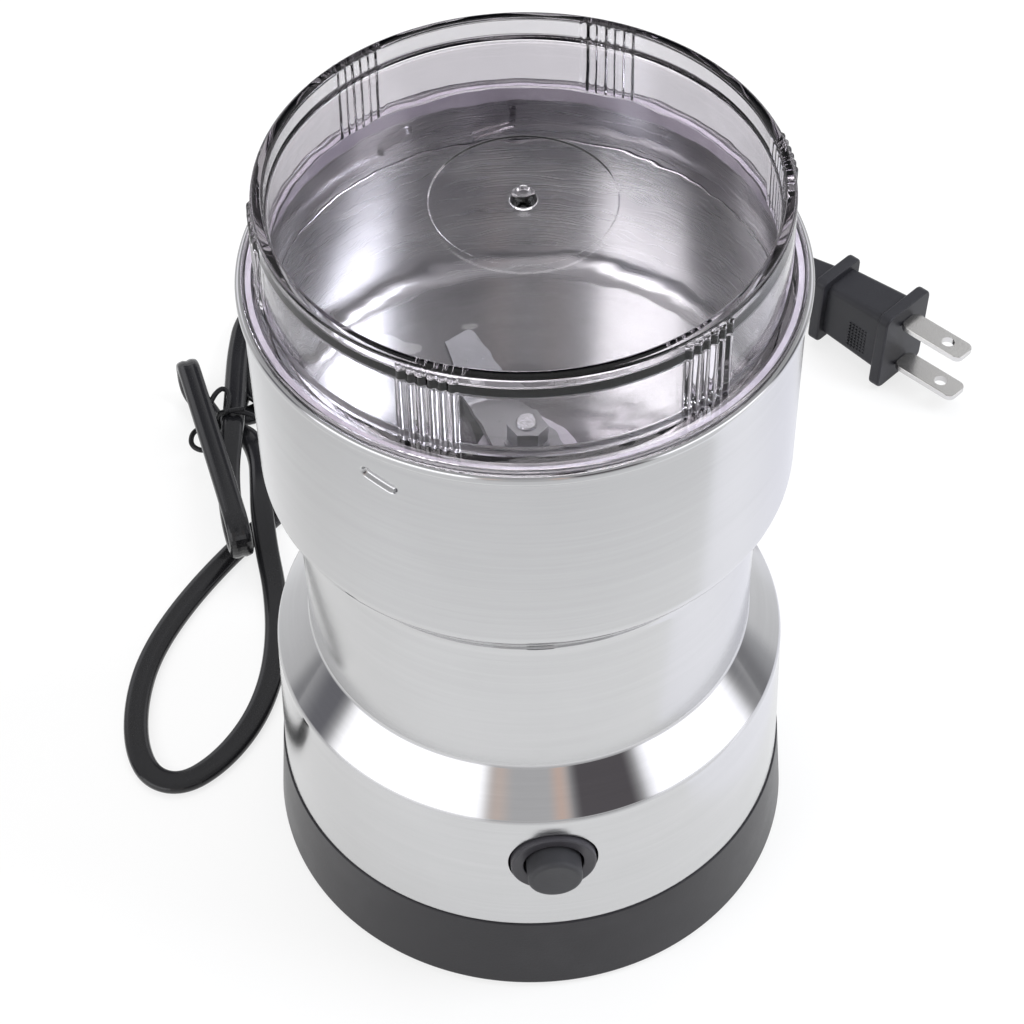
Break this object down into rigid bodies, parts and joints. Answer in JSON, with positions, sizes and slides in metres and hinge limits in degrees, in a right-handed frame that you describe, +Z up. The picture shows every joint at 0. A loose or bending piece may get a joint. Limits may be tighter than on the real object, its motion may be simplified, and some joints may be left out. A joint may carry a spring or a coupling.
{
  "type": "electric spice grinder",
  "caption": "Electric blade grinder with a steel cup, a clear twist-lock lid, a waisted steel motor housing, a push button and a coiled two-pin mains lead.",
  "frame": {"origin": "on the table under the grinder's axis, at the underside of the feet", "axes": "+Z up along the motor's axis, -Y towards the button, +X to the right seen from the button's side"},
  "size_m": [0.1953, 0.2234, 0.1686],
  "materials": {
    "brushed_steel": "fine horizontal brushing, polished edges",
    "lid_clear": "clear, polished",
    "black_plastic": "satin",
    "button_plastic": "matte",
    "cord_black": "satin",
    "moulded_black": "satin",
    "plug_charcoal": "satin",
    "pin_nickel": "satin",
    "tie_black": "satin",
    "silicone": "soft, translucent",
    "blade_steel": "ground",
    "zinc_steel": "zinc plated",
    "core_steel": "laminated",
    "copper_wire": "enamelled",
    "brass": "plain",
    "carbon": "matte",
    "fan_plastic": "plain"
  },
  "bodies": {
    "housing": {"grinding_cup": "brushed_steel", "housing_shell": "brushed_steel", "base_ring": "black_plastic", "base_plate": "black_plastic", "switch_holder": "black_plastic", "cord_clamp": "black_plastic", "switch_body": "black_plastic", "cord_lead": "cord_black", "cord_coil": "cord_black", "cord_tail": "cord_black", "inner_cord": "cord_black", "cord_grommet": "moulded_black", "strain_relief": "moulded_black", "rubber_feet": "moulded_black", "motor_mounts": "moulded_black", "shaft_seal": "moulded_black", "plug_body": "plug_charcoal", "plug_blades": "pin_nickel", "twist_tie": "tie_black", "mounting_plate": "zinc_steel", "upper_bracket": "zinc_steel", "lower_bracket": "zinc_steel", "cup_studs": "zinc_steel", "cup_nuts": "zinc_steel", "tie_rods": "zinc_steel", "tie_nuts": "zinc_steel", "motor_screws": "zinc_steel", "mount_screws": "zinc_steel", "base_screws": "zinc_steel", "clamp_screws": "zinc_steel", "stator_core": "core_steel", "field_coils": "copper_wire", "brush_holders": "brass", "switch_terminals": "brass", "upper_bearing": "brass", "lower_bearing": "brass", "carbon_brushes": "carbon"},
    "rotor": {"motor_shaft": "blade_steel", "rotor_core": "core_steel", "rotor_windings": "copper_wire", "commutator": "copper_wire", "cooling_fan": "fan_plastic", "blade": "blade_steel", "blade_hub": "blade_steel", "blade_washer": "blade_steel", "blade_nut": "blade_steel"},
    "button": {"button_cap": "button_plastic"},
    "lid_ring": {"lid_seal": "silicone"},
    "lid": {"lid": "lid_clear"}
  },
  "joints": [
    {"name": "rotor_spin", "type": "hinge", "parent": "housing", "child": "rotor", "pos_m": [0, 0, 0.06], "axis": [0, 0, 1], "continuous": true},
    {"name": "button_press", "type": "slide", "parent": "housing", "child": "button", "axis": [-0.0941, 0.9956, 0], "range_m": [0, 0.0025], "stiffness_N_per_m": 800, "springref_m": -0.001},
    {"name": "lid_lift", "type": "slide", "parent": "housing", "child": "lid_ring", "axis": [0, 0, 1], "range_m": [0, 0.06]},
    {"name": "lid_turn", "type": "hinge", "parent": "lid_ring", "child": "lid", "pos_m": [0, 0, 0.15], "axis": [0, 0, 1], "range_deg": [0, 22]}
  ]
}
